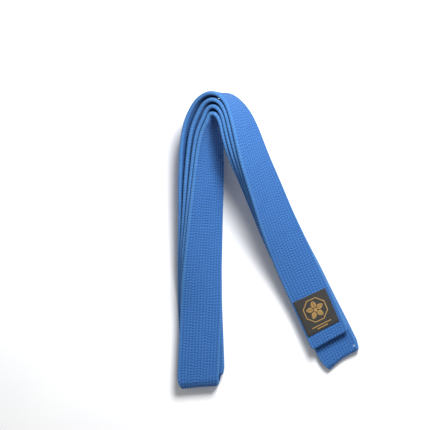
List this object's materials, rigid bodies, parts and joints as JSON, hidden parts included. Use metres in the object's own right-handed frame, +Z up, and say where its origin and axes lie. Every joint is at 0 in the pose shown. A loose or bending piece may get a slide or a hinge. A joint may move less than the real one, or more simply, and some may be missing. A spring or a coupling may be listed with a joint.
{
  "type": "martial arts belt",
  "caption": "Quilted cotton martial arts belt with a woven label near one tip, folded into layers and bent over into an inverted V lying on a flat surface.",
  "frame": {"origin": "centre of the bounding box's foot, on the surface the belt lies on", "axes": "+Y from the leg ends towards the bend, +Z up; the left leg ends in the double fold, the right leg carries the label"},
  "size_m": [0.1782, 0.2843, 0.0726],
  "materials": {
    "cotton_cover": "matte blue cotton twill, quilted lengthwise",
    "padding": "matte unbleached cotton padding",
    "stitching": "blue polyester sewing thread, slight sheen",
    "label_cloth": "black woven damask",
    "label_edge": "dark grey sewing thread",
    "gold_thread": "gold embroidery thread with sheen"
  },
  "bodies": {
    "root": {"outer_cover": "cotton_cover", "core_ply_front": "padding", "core_ply_back": "padding", "edge_stitch_near_front": "stitching", "edge_stitch_far_front": "stitching", "edge_stitch_near_back": "stitching", "edge_stitch_far_back": "stitching", "tip_1_cross_stitch_1_front": "stitching", "tip_1_cross_stitch_1_back": "stitching", "tip_1_cross_stitch_2_front": "stitching", "tip_1_cross_stitch_2_back": "stitching", "tip_2_cross_stitch_1_front": "stitching", "tip_2_cross_stitch_1_back": "stitching", "tip_2_cross_stitch_2_front": "stitching", "tip_2_cross_stitch_2_back": "stitching", "label_cloth": "label_cloth", "label_border_stitch": "label_edge", "emblem_frame": "gold_thread", "emblem_petal_1": "gold_thread", "emblem_petal_2": "gold_thread", "emblem_petal_3": "gold_thread", "emblem_petal_4": "gold_thread", "emblem_petal_5": "gold_thread", "emblem_heart": "gold_thread", "caption_bar_1": "gold_thread", "caption_bar_2": "gold_thread"}
  },
  "joints": []
}
